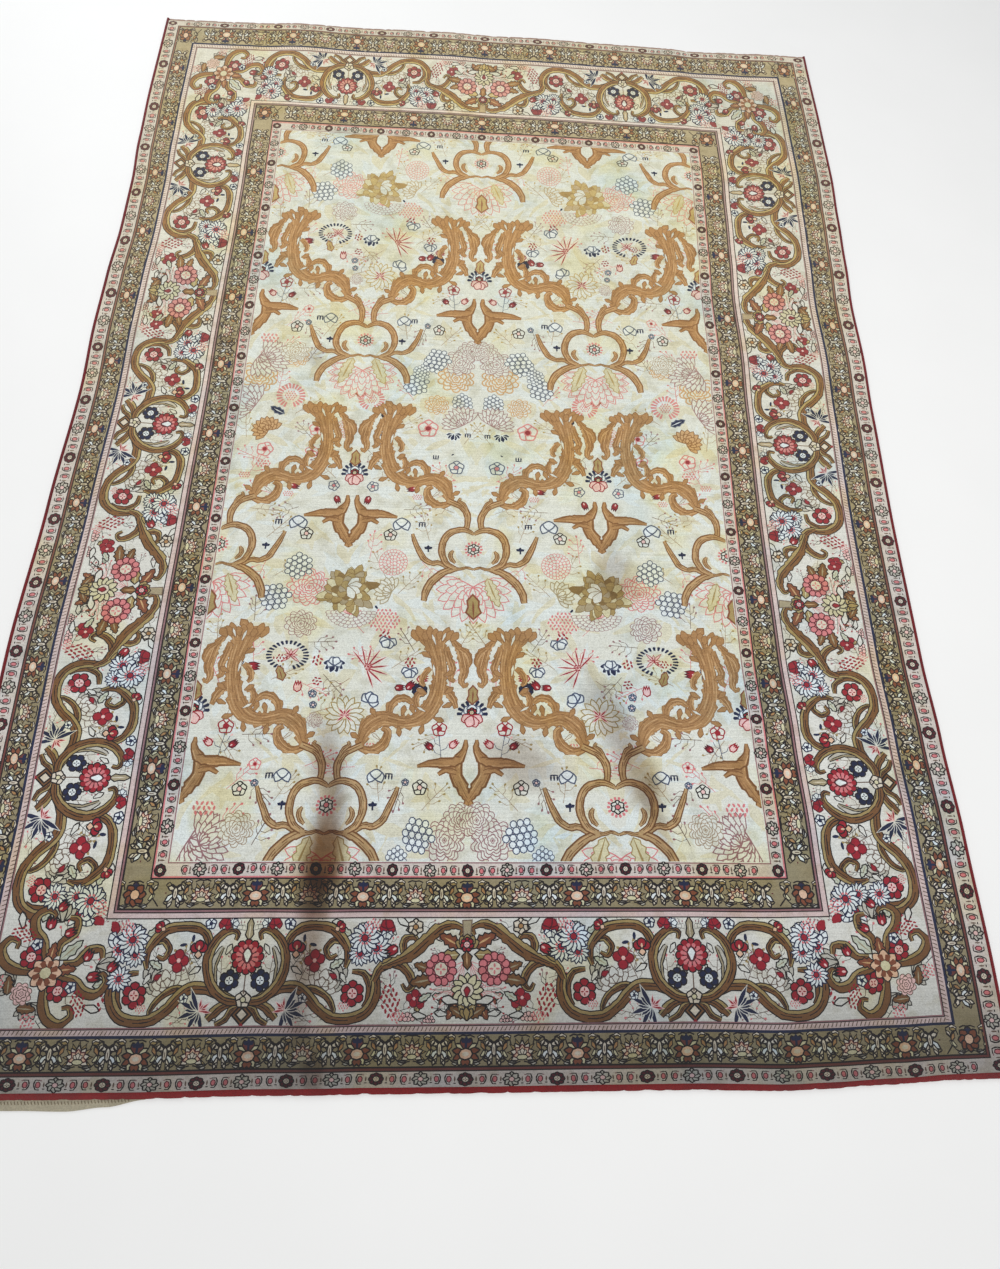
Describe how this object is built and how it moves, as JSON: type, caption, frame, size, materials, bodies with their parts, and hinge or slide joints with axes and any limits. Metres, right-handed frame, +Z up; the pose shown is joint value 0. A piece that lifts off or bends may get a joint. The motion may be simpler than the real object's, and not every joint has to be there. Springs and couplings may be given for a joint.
{
  "type": "persian rug",
  "caption": "Hand-knotted persian rug laid flat, with soft ripples, uneven edges, red side selvedges, flat-woven end bands and a strip of cream tape under one end.",
  "frame": {"origin": "middle of the underside, on the floor", "axes": "+Y along the rug's length, towards the end that is far from the camera; +X across its width; +Z up out of the pile"},
  "size_m": [2.5197, 3.5302, 0.0123],
  "materials": {
    "knotted_pile": "short wool pile with a soft sheen, ivory and ochre",
    "red_wool": "dark red wool, overcast",
    "red_weft": "dark red flat weave, worn",
    "pink_weft": "faded pink flat weave",
    "cream_canvas": "plain cream canvas tape"
  },
  "bodies": {
    "root": {"knotted_rug": "knotted_pile", "left_selvedge": "red_wool", "right_selvedge": "red_wool", "near_end_band": "red_weft", "far_end_band": "pink_weft", "near_end_tape": "cream_canvas"}
  },
  "joints": []
}
